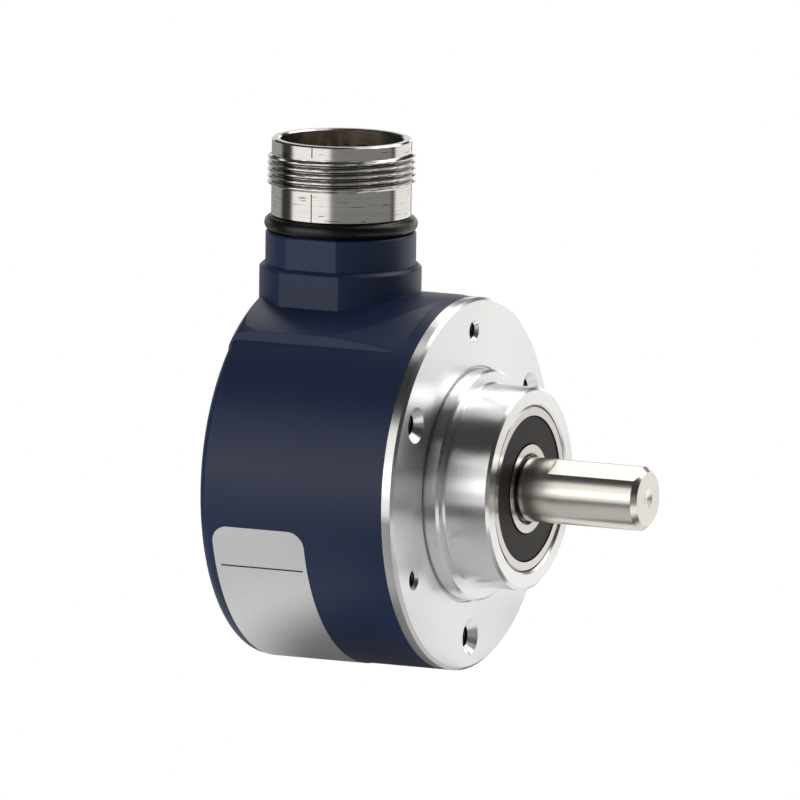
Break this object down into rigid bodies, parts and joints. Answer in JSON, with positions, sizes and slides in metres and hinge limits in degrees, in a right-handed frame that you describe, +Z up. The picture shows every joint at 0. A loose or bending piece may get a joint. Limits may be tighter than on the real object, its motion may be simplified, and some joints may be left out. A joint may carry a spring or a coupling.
{
  "type": "incremental rotary encoder",
  "caption": "Round shaft encoder with a clamping flange, a plain shaft in sealed ball bearings, and a round threaded connector that stands up from its dark cover.",
  "frame": {"origin": "on the shaft axis, in the flange's front mounting face, inside the centring boss's length", "axes": "+X out along the shaft, +Z up along the connector, +Y to complete a right-handed frame"},
  "size_m": [0.0656, 0.058, 0.0816],
  "materials": {
    "anodised_aluminium": "turned and brushed, clear anodised",
    "navy_paint": "satin powder coat",
    "label_foil": "matt silver foil",
    "shaft_steel": "stainless, finely turned",
    "screw_steel": "zinc-plated",
    "spring_steel": "phosphated",
    "bearing_steel": "ground",
    "ball_steel": "polished",
    "cage_plastic": "moulded polyamide",
    "seal_rubber": "dark grey-brown nitrile",
    "black_rubber": "black nitrile",
    "hub_aluminium": "turned",
    "disc_glass": "clear with dark code rings",
    "board_green": "solder mask",
    "black_plastic": "moulded",
    "header_plastic": "moulded",
    "ceramic": "fired",
    "lens_plastic": "clear tinted",
    "tinned_wire": "tinned",
    "wire_insulation": "flexible",
    "nickel_plate": "nickel-plated brass, fine turning marks",
    "gold_plate": "gold-plated"
  },
  "bodies": {
    "housing": {"flange": "anodised_aluminium", "cover": "navy_paint", "cover_seal": "black_rubber", "cover_screws": "screw_steel", "label": "label_foil", "preload_spring": "spring_steel", "bore_retaining_ring": "spring_steel", "circuit_board": "board_green", "board_standoffs": "nickel_plate", "board_screws": "screw_steel", "emitter_bracket": "black_plastic", "emitter": "lens_plastic", "emitter_screws": "screw_steel", "emitter_leads": "tinned_wire", "sensor_chip": "black_plastic", "sensor_mask": "disc_glass", "line_driver": "black_plastic", "voltage_regulator": "black_plastic", "board_capacitors": "ceramic", "board_header": "header_plastic", "harness_plug": "header_plastic", "harness_wires": "wire_insulation", "connector_shell": "nickel_plate", "connector_o_ring": "black_rubber", "connector_insulator": "black_plastic", "contact_pins": "gold_plate", "insulator_ring": "spring_steel", "front_bearing_outer_ring": "bearing_steel", "front_bearing_seals": "seal_rubber", "rear_bearing_outer_ring": "bearing_steel", "rear_bearing_seals": "seal_rubber"},
    "rotor": {"shaft": "shaft_steel", "front_bearing_inner_ring": "bearing_steel", "rear_bearing_inner_ring": "bearing_steel", "bearing_spacer": "bearing_steel", "shaft_retaining_ring": "spring_steel", "code_hub": "hub_aluminium", "hub_set_screws": "spring_steel", "code_disc": "disc_glass", "disc_clamp_ring": "hub_aluminium"},
    "front_ball_set": {"front_bearing_cage": "cage_plastic", "front_bearing_balls": "ball_steel"},
    "rear_ball_set": {"rear_bearing_cage": "cage_plastic", "rear_bearing_balls": "ball_steel"}
  },
  "joints": [
    {"name": "shaft_spin", "type": "hinge", "parent": "housing", "child": "rotor", "pos_m": [0, 0, 0], "axis": [1, 0, 0], "continuous": true},
    {"name": "front_cage_spin", "type": "hinge", "parent": "housing", "child": "front_ball_set", "pos_m": [0, 0, 0], "axis": [1, 0, 0], "continuous": true},
    {"name": "rear_cage_spin", "type": "hinge", "parent": "housing", "child": "rear_ball_set", "pos_m": [0, 0, 0], "axis": [1, 0, 0], "continuous": true}
  ],
  "couplings": [
    {"joint": "front_cage_spin", "follows": "shaft_spin", "ratio": 0.36772},
    {"joint": "rear_cage_spin", "follows": "shaft_spin", "ratio": 0.36772}
  ]
}
